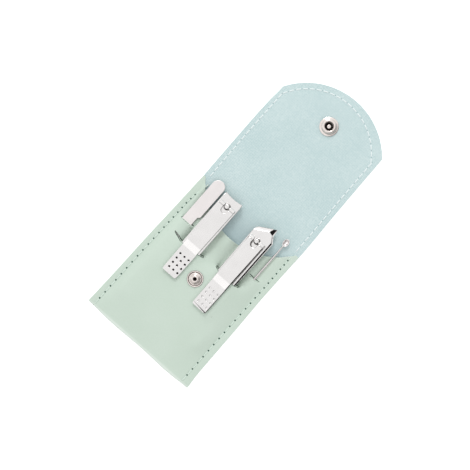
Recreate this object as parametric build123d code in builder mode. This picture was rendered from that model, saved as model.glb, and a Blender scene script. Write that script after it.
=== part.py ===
"""Manicure set case: a snap-flap pouch lying open, with two nail clippers, a nail file and an ear pick.

Millimetres. +X is across the pouch, +Y runs from the pocket to the flap, +Z is up. The origin lies on the
outer face of the back, in the middle of the line that joins the two corners of the pocket's mouth.
"""
from build123d import *
from math import atan2, cos, degrees, radians, sin, sqrt
import os

# ---- pouch ---------------------------------------------------------------------------------------------
pocket_length = 103.5         # mouth corner line to the bottom fold
bottom_width = 79.0           # width at the bottom fold
mouth_width = 76.4            # width at the mouth corner line
flap_width = 75.2             # width where the flap's sides end
leather = 1.0                 # outer leather of back, spine and flap
lining = 0.5                  # lining glued to that leather
front_leather = 1.0           # the pocket's front panel
first_fold = 5.0              # mouth corner line to the fold between back and spine
spine_depth = 11.2            # fold to fold
fold_slit = 0.15              # half of the gap left between two panels at a fold
fold_radius = 4.0             # radius that the leather bends to
flap_end_radius = 43.3        # the flap's round end
flap_end_centre = 50.5        # centre of that arc, from the mouth corner line
flap_end_offset = 2.2         # the arc is cut a little right of the middle
flap_closed_tilt = 1.5        # degrees that the shut flap slopes down to its snap
scoop_land = 1.94             # straight edge left between the mouth's scoop and each side
scoop_depth = 18.7            # mouth corner line to the deepest point of the scoop
gap = 0.3                     # clearance between a tool and the leather round it
side_play = 0.2               # more clearance beside a tool

# ---- seams ---------------------------------------------------------------------------------------------
seam_inset = 3.9              # edge of the leather to the thread
stitch_pitch = 4.7
stitch_length = 3.6
thread = 0.7                  # width of the thread
thread_height = 0.3           # how far it stands above the leather
seam_end = 4.0                # first stitch from an edge or a fold

# ---- slits in the front panel --------------------------------------------------------------------------
clipper_slit = 37.2           # mouth corner line to the slits of the two clippers
file_slit = 27.5
pick_slit = 27.0
cover_end = 62.0              # from here the panel slopes down beyond the clippers' tails
panel_foot = 3.5              # last stretch before the fold, flat on the lining
seam_flat = 5.75              # the panel lies flat this far in from its side, where it is narrowest
web_finger = 2.65             # finger-nail clipper to the bridge of leather between the clippers
web_oblique = 2.75            # oblique clipper to that bridge
web_ramp = 11.5               # length over which the bridge climbs
wall = 1.2                    # upright side of the leather over a slim tool

# ---- clippers, in the clipper's own frame: origin under the pin, +Y to the jaws, +Z up -----------------
arm_width = 13.5
arm_sheet = 1.1
arm_tail = 52.6               # pin to the arms' rear end
rivet_back = 48.6             # pin to the rear rivet
rivet_radius = 1.2
rivet_head_radius = 2.1
rivet_head = 0.4
arms_spread = 3.3             # underside of the upper arm at the pin
tail_play = 0.15              # upper arm over lower arm at the rivet
bend_back = 1.6               # rivet to the line where the upper arm starts to rise
head_start = 0.5              # pin to where the flat head starts
jaw_gap = 1.5                 # between the cutting edges when open
lower_edge_height = 1.35      # the lower cutting edge
edge_land = 0.35              # thickness left at a cutting edge
lower_bend = 3.2              # length of the bent lip at the lower jaw
upper_bend = 2.4              # the same at the upper jaw
edge_bevel = 1.6              # inner bevel behind a cutting edge
pin_radius = 1.5
pin_play = 0.1                # in the lower arm
pin_slack = 0.4               # in the upper arm, which tips as it is squeezed
pin_head_radius = 2.3
pin_head = 0.65
pin_tip = 1.25                # pin top above its crossbar's axis
bar_radius = 0.6
bar_length = 9.4
bar_play = 0.15
lever_sheet = 1.1
lever_head_width = 11.4
lever_tail_width = 10.4
lever_tail = 53.3             # pin to the lever's free end
lever_drop = 0.9              # step between the lever's flat and its grip
ramp_start = 29.9             # pin to the ramp
ramp_end = 34.4
knuckle_radius = 1.3
slot_width = 4.0              # the fork round the pin
slot_back = 4.6               # pin to the slot's rear end
tail_corner = 1.2
dimple_radius = 0.65
dimple_depth = 0.35
dimple_columns = 3
dimple_rows = 4
dimple_pitch_x = 3.25
dimple_pitch_y = 3.4
dimple_middle = 44.5          # pin to the middle of the dimples
dimple_shift = 0.6            # the pattern sits a little right of the middle

# finger-nail clipper: where it lies, and its straight jaw
finger_play = 2.45            # the file's hidden end to the clipper's flank
finger_pin_y = -5.4
finger_reach = 6.7            # pin to the jaw's corners
finger_hollow = 0.7           # depth of the jaw's hollow curve
finger_corner = 0.45          # the jaw is this much narrower than the arm, each side

# oblique clipper: where it lies, and its slanting beak
oblique_play = 6.35           # the clipper's flank to the ear pick's middle
oblique_pin_y = -9.2
oblique_roll = 8.0            # degrees, its right flank lifted
oblique_slant = 30.0          # degrees between the cutting edge and the clipper's width
oblique_left_x = -5.0         # the cutting edge's rear end
oblique_left_y = 7.8
oblique_shoulder = 4.8        # pin to where the sides start to run in
oblique_lower_beak = 4.5      # the beak's tip, right of the middle
oblique_upper_beak = 2.9
oblique_beak_root = 8.6       # pin to the beak's root
oblique_lower_root_x = 5.2
oblique_upper_root_x = 4.4
oblique_notch_x = 2.0         # the upper jaw is cut back behind its tip
oblique_notch_y = 9.3
oblique_extra = 0.5           # the lower arm is this much wider, each side

# ---- nail file and ear pick ----------------------------------------------------------------------------
file_side = 12.65             # the pocket's side, halfway down, to the file's middle
file_top = 4.3
file_length = 90.0
file_width = 8.6
file_tang_width = 7.2
file_sheet = 1.0
file_shoulder = -21.0         # where the blade steps in
file_step = 1.4               # length of that step
file_taper = 25.0             # the hidden end narrows over this length
file_point = 2.4              # width left at that end
file_edge = 0.2
pick_side = 12.05             # the pocket's side, halfway down, to the ear pick's middle
pick_top = 4.2
pick_length = 85.0
pick_radius = 0.75
pick_neck_radius = 0.55
spoon_width = 3.7
spoon_length = 5.2
spoon_depth = 1.3
spoon_bowl_radius = 1.7
spoon_spread = 0.6            # the hollow is stretched this far each way along the bowl
spoon_round = 0.5             # the bowl's rounded underside
spoon_wall = 0.45
neck_length = 5.0

# ---- snap ----------------------------------------------------------------------------------------------
stud_y = -50.6
stud_flange_radius = 4.6
stud_flange = 0.5
stud_neck_radius = 1.95
stud_knob_radius = 2.35
stud_height = 3.1
knob_height = 1.0
eyelet_radius = 1.5
eyelet_bore = 0.9
eyelet_flange_radius = 4.2
eyelet_flange = 0.5
socket_flange_radius = 5.7
socket_flange = 0.5
socket_ring_radius = 4.5
socket_height = 2.8
socket_bore = 2.8
spring_wire = 0.3
spring_groove = 1.0           # lining to the spring ring's middle
spring_turn = 330.0           # degrees of the ring that its wire fills
cap_radius = 6.2
cap_sheet = 0.6
cap_post_radius = 1.5
cap_round = 0.35

# ---- worked out from the sizes above -------------------------------------------------------------------
lining_top = leather + lining
panel_top = lining_top + front_leather
tool_base = panel_top + gap
second_fold = first_fold + spine_depth
fold_height = lining_top / 2 + fold_radius * (1 - radians(45))
bottom_fold = -pocket_length + panel_top / 2
scoop_half = mouth_width / 2 - scoop_land
scoop_radius = (scoop_half**2 + scoop_depth**2) / (2 * scoop_depth)
arm_half = arm_width / 2
middle_half = (mouth_width + bottom_width) / 4
file_x = file_side - middle_half
tang_right = file_x - file_width / 2 + file_tang_width
finger_x = tang_right + finger_play + arm_half
pick_x = middle_half - pick_side
oblique_x = pick_x - oblique_play - arm_half
web_left = finger_x + arm_half + web_finger
web_right = oblique_x - arm_half - web_oblique
rivet_height = arm_sheet + tail_play / 2
tail_top = 2 * arm_sheet + tail_play
head_top = arms_spread + arm_sheet
bend_y = -rivet_back + bend_back


def half_width(y):
    """Half of the pocket's width at y; the pocket tapers evenly from its fold to the back's end."""
    taper = (bottom_width - mouth_width) / 2 / pocket_length
    return mouth_width / 2 - taper * y


def arm_top(y):
    """Top of the upper arm at y in the clipper's frame, between its bend and the pin."""
    return tail_top + (head_top - tail_top) * (y - bend_y) / (head_start - bend_y)


cover_height = arm_top(-clipper_slit - finger_pin_y) + gap
grip_base = cover_height + front_leather + gap
flat_base = grip_base + lever_drop
bar_height = flat_base + lever_sheet / 2

oblique_base = tool_base + (arm_half + oblique_extra) * sin(radians(oblique_roll))
finger_seat = Plane((finger_x, finger_pin_y, tool_base))
oblique_seat = Plane(
    (oblique_x, oblique_pin_y, oblique_base),
    x_dir=(cos(radians(oblique_roll)), 0, sin(radians(oblique_roll))),
    z_dir=(-sin(radians(oblique_roll)), 0, cos(radians(oblique_roll))),
)
file_cover = tool_base + file_sheet + gap
pick_cover = tool_base + 2 * pick_radius + gap
slim_cover = max(file_cover, pick_cover)
slim_cover_end = max(file_length - file_top, pick_length - pick_top) + gap
stud_base = tool_base + cover_height + front_leather
shut_angle = radians(180 + flap_closed_tilt)
socket_y = second_fold + (first_fold - stud_y) / -cos(shut_angle)

os.makedirs("parts", exist_ok=True)


def save(builder, name):
    """Label the finished piece and write it as its own STEP file."""
    builder.part.label = name
    export_step(builder.part, f"parts/{name}.step")


# ---- outer leather and lining of back, spine and flap --------------------------------------------------
flap_half = flap_width / 2
apex_y = flap_end_centre + flap_end_radius
left_corner_y = flap_end_centre + sqrt(flap_end_radius**2 - (flap_half + flap_end_offset) ** 2)
right_corner_y = flap_end_centre + sqrt(flap_end_radius**2 - (flap_half - flap_end_offset) ** 2)


def side_x(y):
    """Half width of the sheet at y, from the bottom fold to the flap's corners."""
    if y <= first_fold:
        return half_width(y)
    return half_width(first_fold) + (flap_half - half_width(first_fold)) * (y - first_fold) / (
        right_corner_y - first_fold
    )


def strip(low_y, high_y, base, thickness):
    """One straight-sided stretch of the sheet."""
    with BuildPart() as sheet:
        with BuildSketch(Plane.XY.offset(base)):
            with BuildLine():
                Polyline(
                    (-side_x(low_y), low_y),
                    (side_x(low_y), low_y),
                    (side_x(high_y), high_y),
                    (-side_x(high_y), high_y),
                    close=True,
                )
            make_face()
        extrude(amount=thickness)
    return sheet


def flap_sheet(base, thickness, cuts):
    """The flap: two straight sides and a round end, cut for the snap to each (radius, depth)."""
    low_y = second_fold + fold_slit
    with BuildPart() as sheet:
        with BuildSketch(Plane.XY.offset(base)):
            with BuildLine():
                Polyline(
                    (-flap_half, left_corner_y),
                    (-side_x(low_y), low_y),
                    (side_x(low_y), low_y),
                    (flap_half, right_corner_y),
                )
                ThreePointArc(
                    (flap_half, right_corner_y), (flap_end_offset, apex_y), (-flap_half, left_corner_y)
                )
            make_face()
        extrude(amount=thickness)
        for radius, depth in cuts:
            with BuildSketch(Plane.XY.offset(base)):
                with Locations((0, socket_y)):
                    Circle(radius)
            extrude(amount=depth, mode=Mode.SUBTRACT)
    return sheet


back_panel = strip(bottom_fold, first_fold - fold_slit, 0, leather)
save(back_panel, "back_panel")
back_lining = strip(bottom_fold, first_fold - fold_slit, leather, lining)
save(back_lining, "back_lining")

spine_panel = strip(first_fold + fold_slit, second_fold - fold_slit, 0, leather)
save(spine_panel, "spine_panel")
spine_lining = strip(first_fold + fold_slit, second_fold - fold_slit, leather, lining)
save(spine_lining, "spine_lining")

flap_panel = flap_sheet(0, leather, [(cap_radius, cap_sheet), (cap_post_radius, leather)])
flap_lining = flap_sheet(leather, lining, [(cap_post_radius, lining)])
save(flap_panel, "flap_panel")
save(flap_lining, "flap_lining")


# ---- pocket front panel --------------------------------------------------------------------------------
panel_foot_x = min(half_width(-file_slit), half_width(bottom_fold)) - seam_flat
panel_end = -pocket_length + panel_foot
slit_half = arm_half + gap + side_play
seat_left = oblique_seat.from_local_coords((-slit_half, 0, cover_height))
seat_right = oblique_seat.from_local_coords((slit_half, 0, cover_height))
cover_z = tool_base + cover_height
file_left = file_x - file_width / 2 - gap
pick_right = pick_x + spoon_width / 2 - gap


def hill(rise):
    """What lies under the panel, down to the table: its cross-section and its side view, raised by rise."""
    peak = max(cover_z, seat_right.Z)
    with BuildPart() as solid:
        with BuildSketch(Plane((0, -clipper_slit, 0), x_dir=(1, 0, 0), z_dir=(0, -1, 0))):
            with BuildLine():
                Polyline(
                    (-panel_foot_x, 0),
                    (-panel_foot_x, lining_top + rise),
                    (file_left, file_cover + rise),
                    (finger_x - slit_half, cover_z + rise),
                    (seat_left.X, max(cover_z, seat_left.Z) + rise),
                    (seat_right.X, seat_right.Z + rise),
                    (pick_right, pick_cover + rise),
                    (panel_foot_x, lining_top + rise),
                    (panel_foot_x, 0),
                    close=True,
                )
            make_face()
        extrude(amount=-clipper_slit - panel_end)
        with BuildSketch(Plane.YZ):
            with BuildLine():
                Polyline(
                    (-clipper_slit, 0),
                    (-clipper_slit, peak + rise),
                    (-cover_end, peak + rise),
                    (-slim_cover_end, slim_cover + rise),
                    (panel_end, lining_top + rise),
                    (panel_end, 0),
                    close=True,
                )
            make_face()
        extrude(amount=bottom_width, both=True, mode=Mode.INTERSECT)
    return solid.part


def tunnel(points, low_y, high_y):
    """A stretch of leather that stands over one slim tool, from its slit back to the clippers' slits."""
    with BuildPart() as cover:
        with BuildSketch(Plane((0, high_y, 0), x_dir=(1, 0, 0), z_dir=(0, -1, 0))):
            with BuildLine():
                Polyline(*points, close=True)
            make_face()
        extrude(amount=high_y - low_y)
    return cover.part


file_wall = tang_right + gap + side_play
pick_wall = pick_x - pick_radius - gap - wall / 2

file_tunnel = tunnel(
    [
        (-panel_foot_x, lining_top),
        (file_left, file_cover),
        (file_wall, file_cover),
        (file_wall + wall / 2, lining_top),
        (file_wall + wall * 3 / 2, lining_top),
        (file_wall + wall * 3 / 2, panel_top),
        (file_wall + wall / 2, file_cover + front_leather),
        (file_left, file_cover + front_leather),
        (-panel_foot_x, panel_top),
    ],
    -clipper_slit,
    -file_slit,
)
pick_tunnel = tunnel(
    [
        (panel_foot_x, lining_top),
        (pick_right, pick_cover),
        (pick_wall, pick_cover),
        (pick_wall - wall / 2, lining_top),
        (pick_wall - wall * 3 / 2, lining_top),
        (pick_wall - wall * 3 / 2, panel_top),
        (pick_wall - wall / 2, pick_cover + front_leather),
        (pick_right, pick_cover + front_leather),
        (panel_foot_x, panel_top),
    ],
    -clipper_slit,
    -pick_slit,
)

with BuildPart() as dome:
    add(hill(front_leather))
    add(hill(0), mode=Mode.SUBTRACT)

with BuildPart() as front_panel:
    # flat margins and the strip between the scooped mouth and the slits
    with BuildSketch(Plane.XY.offset(lining_top)):
        with BuildLine():
            Polyline(
                (-scoop_half, 0),
                (-half_width(0), 0),
                (-half_width(bottom_fold), bottom_fold),
                (half_width(bottom_fold), bottom_fold),
                (half_width(0), 0),
                (scoop_half, 0),
            )
            ThreePointArc((-scoop_half, 0), (0, -scoop_depth), (scoop_half, 0))
        make_face()
        # under the dome
        with BuildLine():
            Polyline(
                (-panel_foot_x, -clipper_slit),
                (panel_foot_x, -clipper_slit),
                (panel_foot_x, panel_end),
                (-panel_foot_x, panel_end),
                close=True,
            )
        make_face(mode=Mode.SUBTRACT)
        # under the file's tunnel, the ear pick's tunnel and the bridge
        for left, right, top in (
            (-panel_foot_x, file_wall + wall * 3 / 2, -file_slit),
            (pick_wall - wall * 3 / 2, panel_foot_x, -pick_slit),
            (web_left, web_right, -clipper_slit + web_ramp),
        ):
            with Locations(((left + right) / 2, (top - clipper_slit) / 2)):
                Rectangle(right - left, top + clipper_slit, mode=Mode.SUBTRACT)
    extrude(amount=front_leather)
    add(dome.part)
    add(file_tunnel)
    add(pick_tunnel)
    # the bridge climbs from the strip to the dome
    with BuildSketch(Plane((web_left, 0, 0), x_dir=(0, 1, 0), z_dir=(1, 0, 0))):
        with BuildLine():
            Polyline(
                (-clipper_slit, cover_z),
                (-clipper_slit + web_ramp, lining_top),
                (-clipper_slit + web_ramp, panel_top),
                (-clipper_slit, cover_z + front_leather),
                close=True,
            )
        make_face()
    extrude(amount=web_right - web_left)
    # the fold at the bottom
    fold_half = half_width(bottom_fold)
    with BuildSketch(Plane((-fold_half, 0, 0), x_dir=(0, 1, 0), z_dir=(1, 0, 0))):
        with BuildLine():
            Line((bottom_fold, 0), (bottom_fold, panel_top))
            ThreePointArc((bottom_fold, panel_top), (-pocket_length, panel_top / 2), (bottom_fold, 0))
        make_face()
    extrude(amount=2 * fold_half)
    # hole for the stud's eyelet
    with BuildSketch(Plane.XY.offset(tool_base)):
        with Locations((0, stud_y)):
            Circle(eyelet_radius)
    extrude(amount=cover_height + 2 * front_leather, mode=Mode.SUBTRACT)
save(front_panel, "front_panel")


# ---- seams: rows of stitches standing on the leather ---------------------------------------------------
def stitches(places, base):
    """One stitch at each (x, y, direction in degrees), as separate loops of one thread."""
    with BuildPart() as seam:
        with BuildSketch(Plane.XY.offset(base)):
            for x, y, turn in places:
                with Locations(Location((x, y, 0), (0, 0, turn))):
                    SlotOverall(stitch_length, thread)
        extrude(amount=thread_height)
    return seam


def row(start, end):
    """Evenly pitched places along the straight line from start to end."""
    length = sqrt((end[0] - start[0]) ** 2 + (end[1] - start[1]) ** 2)
    count = int(length / stitch_pitch)
    turn = degrees(atan2(end[1] - start[1], end[0] - start[0]))
    first = (length - (count - 1) * stitch_pitch) / 2
    places = []
    for i in range(count):
        share = (first + i * stitch_pitch) / length
        places.append(
            (start[0] + share * (end[0] - start[0]), start[1] + share * (end[1] - start[1]), turn)
        )
    return places


seam_low = bottom_fold + seam_end
for name, side in (("left", -1), ("right", 1)):
    seam_start = (side * (half_width(seam_low) - seam_inset), seam_low)
    seam_stop = (side * (half_width(0) - seam_inset), -seam_end)
    save(stitches(row(seam_start, seam_stop), panel_top), f"{name}_seam")

spine_places = []
for side in (-1, 1):
    low = first_fold + fold_slit
    high = second_fold - fold_slit
    spine_places += row((side * (side_x(low) - seam_inset), low), (side * (side_x(high) - seam_inset), high))
save(stitches(spine_places, lining_top), "spine_seam")

arc_radius = flap_end_radius - seam_inset
arc_left = flap_end_centre + sqrt(arc_radius**2 - (flap_half - seam_inset + flap_end_offset) ** 2)
arc_right = flap_end_centre + sqrt(arc_radius**2 - (flap_half - seam_inset - flap_end_offset) ** 2)
flap_low = second_fold + fold_slit
flap_places = row((-side_x(flap_low) + seam_inset, flap_low), (-flap_half + seam_inset, arc_left))
flap_places += row((side_x(flap_low) - seam_inset, flap_low), (flap_half - seam_inset, arc_right))
left_end = degrees(atan2(arc_left - flap_end_centre, -flap_half + seam_inset - flap_end_offset))
right_end = degrees(atan2(arc_right - flap_end_centre, flap_half - seam_inset - flap_end_offset))
arc_count = int(radians(left_end - right_end) * arc_radius / stitch_pitch)
for i in range(arc_count):
    angle = right_end + (left_end - right_end) * (i + 0.5) / arc_count
    flap_places.append(
        (
            flap_end_offset + arc_radius * cos(radians(angle)),
            flap_end_centre + arc_radius * sin(radians(angle)),
            angle + 90,
        )
    )
save(stitches(flap_places, lining_top), "flap_seam")


# ---- snap ----------------------------------------------------------------------------------------------
def turned(x, y, profile):
    """A solid of revolution about the vertical line through (x, y), from its (radius, height) outline."""
    with BuildPart() as body:
        with BuildSketch(Plane((x, y, 0), x_dir=(1, 0, 0), z_dir=(0, -1, 0))):
            with BuildLine():
                Polyline(*profile, close=True)
            make_face()
        revolve(axis=Axis((x, y, 0), (0, 0, 1)))
    return body


knob_low = stud_base + stud_height - knob_height
snap_stud = turned(
    0,
    stud_y,
    [
        (eyelet_radius, stud_base),
        (stud_flange_radius, stud_base),
        (stud_flange_radius, stud_base + stud_flange / 2),
        (stud_flange_radius - stud_flange, stud_base + stud_flange),
        (stud_neck_radius + stud_flange, stud_base + stud_flange),
        (stud_neck_radius, stud_base + 2 * stud_flange),
        (stud_neck_radius, knob_low),
        (stud_knob_radius, knob_low + knob_height / 3),
        (stud_knob_radius, knob_low + knob_height * 2 / 3),
        (stud_neck_radius, knob_low + knob_height),
        (eyelet_bore, knob_low + knob_height),
        (eyelet_bore, stud_base + 2 * stud_flange),
        (eyelet_radius, stud_base + 2 * stud_flange),
    ],
)
save(snap_stud, "snap_stud")

stud_eyelet = turned(
    0,
    stud_y,
    [
        (eyelet_bore, cover_z - eyelet_flange),
        (eyelet_flange_radius, cover_z - eyelet_flange),
        (eyelet_flange_radius, cover_z),
        (eyelet_radius, cover_z),
        (eyelet_radius, stud_base + 2 * stud_flange),
        (eyelet_bore, stud_base + 2 * stud_flange),
    ],
)
save(stud_eyelet, "stud_eyelet")

socket_top = lining_top + socket_height
snap_socket = turned(
    0,
    socket_y,
    [
        (cap_post_radius, lining_top),
        (socket_flange_radius, lining_top),
        (socket_flange_radius, lining_top + socket_flange / 2),
        (socket_flange_radius - socket_flange, lining_top + socket_flange),
        (socket_ring_radius, lining_top + socket_flange),
        (socket_ring_radius, socket_top - socket_flange),
        (socket_ring_radius - socket_flange, socket_top),
        (socket_bore, socket_top),
        (socket_bore, lining_top + spring_groove + spring_wire),
        (socket_bore + spring_wire, lining_top + spring_groove + spring_wire),
        (socket_bore + spring_wire, lining_top + spring_groove - spring_wire),
        (socket_bore, lining_top + spring_groove - spring_wire),
        (socket_bore, lining_top + socket_flange),
        (cap_post_radius, lining_top + socket_flange),
    ],
)
save(snap_socket, "snap_socket")

# a round wire ring lying in the socket's groove, open over a short arc
with BuildPart() as socket_spring:
    ring_plane = Plane((socket_bore, socket_y, 0), x_dir=(1, 0, 0), z_dir=(0, -1, 0))
    with BuildSketch(ring_plane):
        with Locations((0, lining_top + spring_groove)):
            Circle(spring_wire)
    revolve(axis=Axis((0, socket_y, 0), (0, 0, 1)), revolution_arc=spring_turn)
save(socket_spring, "socket_spring")

snap_cap = turned(
    0,
    socket_y,
    [
        (0, 0),
        (cap_radius - cap_round, 0),
        (cap_radius, cap_round),
        (cap_radius, cap_sheet),
        (cap_post_radius, cap_sheet),
        (cap_post_radius, lining_top + socket_flange),
        (0, lining_top + socket_flange),
    ],
)
save(snap_cap, "snap_cap")


# ---- clippers ------------------------------------------------------------------------------------------
def side_plane(seat):
    """Plane of a clipper's side view: its X runs to the jaws, its Y runs up."""
    return Plane(seat.origin, x_dir=seat.y_dir, z_dir=seat.x_dir)


def bent_head(seat, slant, side_view, outline):
    """The head of an arm: its side view swept along the cutting edge and trimmed to its plan."""
    along = seat.x_dir * cos(slant) + seat.y_dir * sin(slant)
    forward = seat.y_dir * cos(slant) - seat.x_dir * sin(slant)
    with BuildPart() as head:
        with BuildSketch(Plane(seat.origin, x_dir=forward, z_dir=along)):
            with BuildLine():
                Polyline(*side_view, close=True)
            make_face()
        extrude(amount=arm_width, both=True)
        with BuildSketch(seat):
            add(outline)
        extrude(amount=arm_width, mode=Mode.INTERSECT)
    return head.part


def lower_side(edge):
    """Side view of the lower jaw, bent up to its cutting edge at the given reach."""
    return [
        (-edge, 0),
        (edge - lower_bend, 0),
        (edge, lower_edge_height - edge_land),
        (edge, lower_edge_height),
        (edge - edge_bevel, arm_sheet),
        (-edge, arm_sheet),
    ]


def upper_side(edge):
    """Side view of the upper jaw, bent down to its cutting edge."""
    lip = lower_edge_height + jaw_gap
    return [
        (-edge, arms_spread),
        (edge - edge_bevel, arms_spread),
        (edge, lip),
        (edge, lip + edge_land),
        (edge - upper_bend, head_top),
        (-edge, head_top),
    ]


def lower_arm(seat, half, head):
    """Flat strip from tail to pin, joined to its head."""
    with BuildPart() as arm:
        with BuildSketch(seat):
            with Locations((0, (head_start - arm_tail) / 2)):
                RectangleRounded(2 * half, head_start + arm_tail, tail_corner)
            with Locations((0, head_start - tail_corner)):
                Rectangle(2 * half, 2 * tail_corner)
        extrude(amount=arm_sheet)
        add(head)
        for y, radius in ((0, pin_radius + pin_play), (-rivet_back, rivet_radius)):
            with BuildSketch(seat):
                with Locations((0, y)):
                    Circle(radius)
            extrude(amount=arm_sheet, mode=Mode.SUBTRACT)
    return arm


def upper_arm(seat, head):
    """Strip that lies on the lower arm at the rivet and rises to the pin, joined to its head."""
    with BuildPart() as arm:
        with BuildSketch(side_plane(seat)):
            with BuildLine():
                Polyline(
                    (-arm_tail, tail_top - arm_sheet),
                    (bend_y, tail_top - arm_sheet),
                    (head_start, arms_spread),
                    (head_start, head_top),
                    (bend_y, tail_top),
                    (-arm_tail, tail_top),
                    close=True,
                )
            make_face()
        extrude(amount=arm_half, both=True)
        tail_edges = arm.edges().filter_by(Axis(seat.origin, seat.z_dir)).group_by(Axis.Y)[0]
        fillet(tail_edges, tail_corner)
        add(head)
        for y, radius in ((0, pin_radius + pin_slack), (-rivet_back, rivet_radius + pin_play)):
            with BuildSketch(seat):
                with Locations((0, y)):
                    Circle(radius)
            extrude(amount=head_top, mode=Mode.SUBTRACT)
    return arm


def rivet(seat):
    """Rear rivet: flush below, with a low head over the upper arm."""
    with BuildPart() as pin:
        with BuildSketch(seat):
            with Locations((0, -rivet_back)):
                Circle(rivet_radius)
        extrude(amount=tail_top + pin_play)
        with BuildSketch(seat.offset(tail_top + pin_play)):
            with Locations((0, -rivet_back)):
                Circle(rivet_head_radius)
        extrude(amount=rivet_head)
        rim = pin.edges().filter_by(GeomType.CIRCLE).sort_by(Axis(seat.origin, seat.z_dir))[-1]
        fillet(rim, rivet_head / 2)
    return pin


def clipper_pin(seat):
    """Pin through both arms: a wide foot below, and a crossbar near its top that carries the lever."""
    with BuildPart() as pin:
        with BuildSketch(seat.offset(-pin_head - pin_play)):
            Circle(pin_head_radius)
        extrude(amount=pin_head)
        foot = pin.edges().filter_by(GeomType.CIRCLE).sort_by(Axis(seat.origin, seat.z_dir))[0]
        chamfer(foot, pin_head / 3)
        with BuildSketch(seat.offset(-pin_head)):
            Circle(pin_radius)
        extrude(amount=pin_head + bar_height + pin_tip)
        crown = pin.edges().filter_by(GeomType.CIRCLE).sort_by(Axis(seat.origin, seat.z_dir))[-1]
        fillet(crown, pin_radius / 3)
        with BuildSketch(side_plane(seat)):
            with Locations((0, bar_height)):
                Circle(bar_radius)
        extrude(amount=bar_length / 2, both=True)
    return pin


def lever(seat):
    """Stowed lever: a forked knuckle round the crossbar, a flat, a short ramp and a dimpled grip."""
    with BuildPart() as body:
        with BuildSketch(side_plane(seat)):
            with BuildLine():
                Polyline(
                    (0, flat_base),
                    (-ramp_start, flat_base),
                    (-ramp_end, grip_base),
                    (-lever_tail, grip_base),
                    (-lever_tail, grip_base + lever_sheet),
                    (-ramp_end, grip_base + lever_sheet),
                    (-ramp_start, flat_base + lever_sheet),
                    (0, flat_base + lever_sheet),
                    close=True,
                )
            make_face()
            with Locations((0, bar_height)):
                Circle(knuckle_radius)
        extrude(amount=lever_head_width / 2, both=True)
        with BuildSketch(seat) as plan:
            with BuildLine():
                Polyline(
                    (-lever_head_width / 2, knuckle_radius),
                    (-lever_head_width / 2, -slot_back),
                    (-lever_tail_width / 2, -lever_tail),
                    (lever_tail_width / 2, -lever_tail),
                    (lever_head_width / 2, -slot_back),
                    (lever_head_width / 2, knuckle_radius),
                    close=True,
                )
            make_face()
            fillet(plan.vertices().group_by(Axis.Y)[0], tail_corner)
            with Locations((0, (2 * knuckle_radius - slot_back + slot_width / 2) / 2)):
                Rectangle(slot_width, 2 * knuckle_radius + slot_back - slot_width / 2, mode=Mode.SUBTRACT)
            with Locations((0, -slot_back + slot_width / 2)):
                Circle(slot_width / 2, mode=Mode.SUBTRACT)
        extrude(amount=bar_height + 2 * knuckle_radius, mode=Mode.INTERSECT)
        with BuildSketch(side_plane(seat)):
            with Locations((0, bar_height)):
                Circle(bar_radius + bar_play)
        extrude(amount=lever_head_width, both=True, mode=Mode.SUBTRACT)
        with BuildSketch(seat.offset(grip_base + lever_sheet - dimple_depth)):
            with Locations((dimple_shift, -dimple_middle)):
                with GridLocations(dimple_pitch_x, dimple_pitch_y, dimple_columns, dimple_rows):
                    Circle(dimple_radius)
        extrude(amount=lever_sheet, mode=Mode.SUBTRACT)
    return body


def finger_outline():
    """Plan of the finger-nail clipper's head: straight sides and a hollow cutting edge."""
    jaw_half = arm_half - finger_corner
    with BuildSketch() as plan:
        with BuildLine():
            Polyline(
                (-jaw_half, finger_reach),
                (-arm_half, finger_reach - upper_bend),
                (-arm_half, head_start),
                (arm_half, head_start),
                (arm_half, finger_reach - upper_bend),
                (jaw_half, finger_reach),
            )
            ThreePointArc(
                (-jaw_half, finger_reach), (0, finger_reach - finger_hollow), (jaw_half, finger_reach)
            )
        make_face()
    return plan.sketch


def oblique_edge(x):
    """The oblique cutting edge's place along the clipper at x."""
    return oblique_left_y + (x - oblique_left_x) * sin(radians(oblique_slant)) / cos(radians(oblique_slant))


def oblique_outline(half, beak, root_x, notch):
    """Plan of an oblique head: a slanting edge that ends in a beak on the right."""
    points = [
        (half, oblique_shoulder),
        (half, head_start),
        (-half, head_start),
        (-half, oblique_shoulder),
    ]
    edge_start = (oblique_left_x, oblique_edge(oblique_left_x))
    bulge = (-half + (half + oblique_left_x) / 4, (oblique_shoulder + oblique_left_y) / 2)
    with BuildSketch() as plan:
        with BuildLine():
            Polyline(*points)
            ThreePointArc(points[-1], bulge, edge_start)
            Polyline(edge_start, (beak, oblique_edge(beak)), *notch, (root_x, oblique_beak_root), points[0])
        make_face()
    return plan.sketch


finger_plan = finger_outline()
lower_head = bent_head(finger_seat, 0, lower_side(finger_reach), finger_plan)
upper_head = bent_head(finger_seat, 0, upper_side(finger_reach), finger_plan)
save(lower_arm(finger_seat, arm_half, lower_head), "finger_lower_arm")
save(upper_arm(finger_seat, upper_head), "finger_upper_arm")
save(rivet(finger_seat), "finger_rivet")
save(clipper_pin(finger_seat), "finger_pin")
save(lever(finger_seat), "finger_lever")

slant = radians(oblique_slant)
edge_reach = oblique_left_y * cos(slant) - oblique_left_x * sin(slant)
lower_plan = oblique_outline(arm_half + oblique_extra, oblique_lower_beak, oblique_lower_root_x, [])
upper_plan = oblique_outline(
    arm_half, oblique_upper_beak, oblique_upper_root_x, [(oblique_notch_x, oblique_notch_y)]
)
lower_head = bent_head(oblique_seat, slant, lower_side(edge_reach), lower_plan)
upper_head = bent_head(oblique_seat, slant, upper_side(edge_reach), upper_plan)
save(lower_arm(oblique_seat, arm_half + oblique_extra, lower_head), "oblique_lower_arm")
save(upper_arm(oblique_seat, upper_head), "oblique_upper_arm")
save(rivet(oblique_seat), "oblique_rivet")
save(clipper_pin(oblique_seat), "oblique_pin")
save(lever(oblique_seat), "oblique_lever")


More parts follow.
